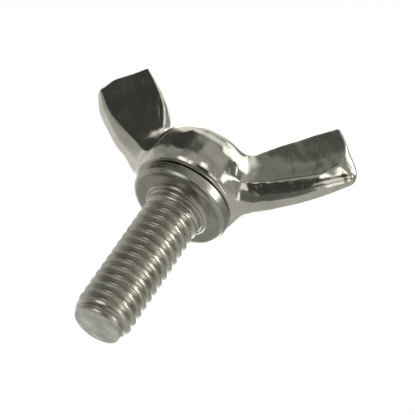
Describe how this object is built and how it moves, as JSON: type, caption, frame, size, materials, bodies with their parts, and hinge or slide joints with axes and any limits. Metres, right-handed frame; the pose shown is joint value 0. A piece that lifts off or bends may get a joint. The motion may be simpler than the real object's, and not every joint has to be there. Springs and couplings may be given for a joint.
{
  "type": "wing screw",
  "caption": "Wing screw: a metric threaded stud with a round collar and a polished head whose swept wings let it be turned by hand.",
  "frame": {"origin": "on the screw's axis, at the collar's front (bearing) face", "axes": "+Z along the axis from the thread towards the wings, thread along -Z, wings along +X and -X, +Y square to the wings"},
  "size_m": [0.0298, 0.0114, 0.0315],
  "materials": {
    "polished_steel": "mirror-polished stainless steel",
    "satin_steel": "satin stainless steel, plain as formed"
  },
  "bodies": {
    "root": {"wing_head": "polished_steel", "threaded_stud": "satin_steel"}
  },
  "joints": []
}
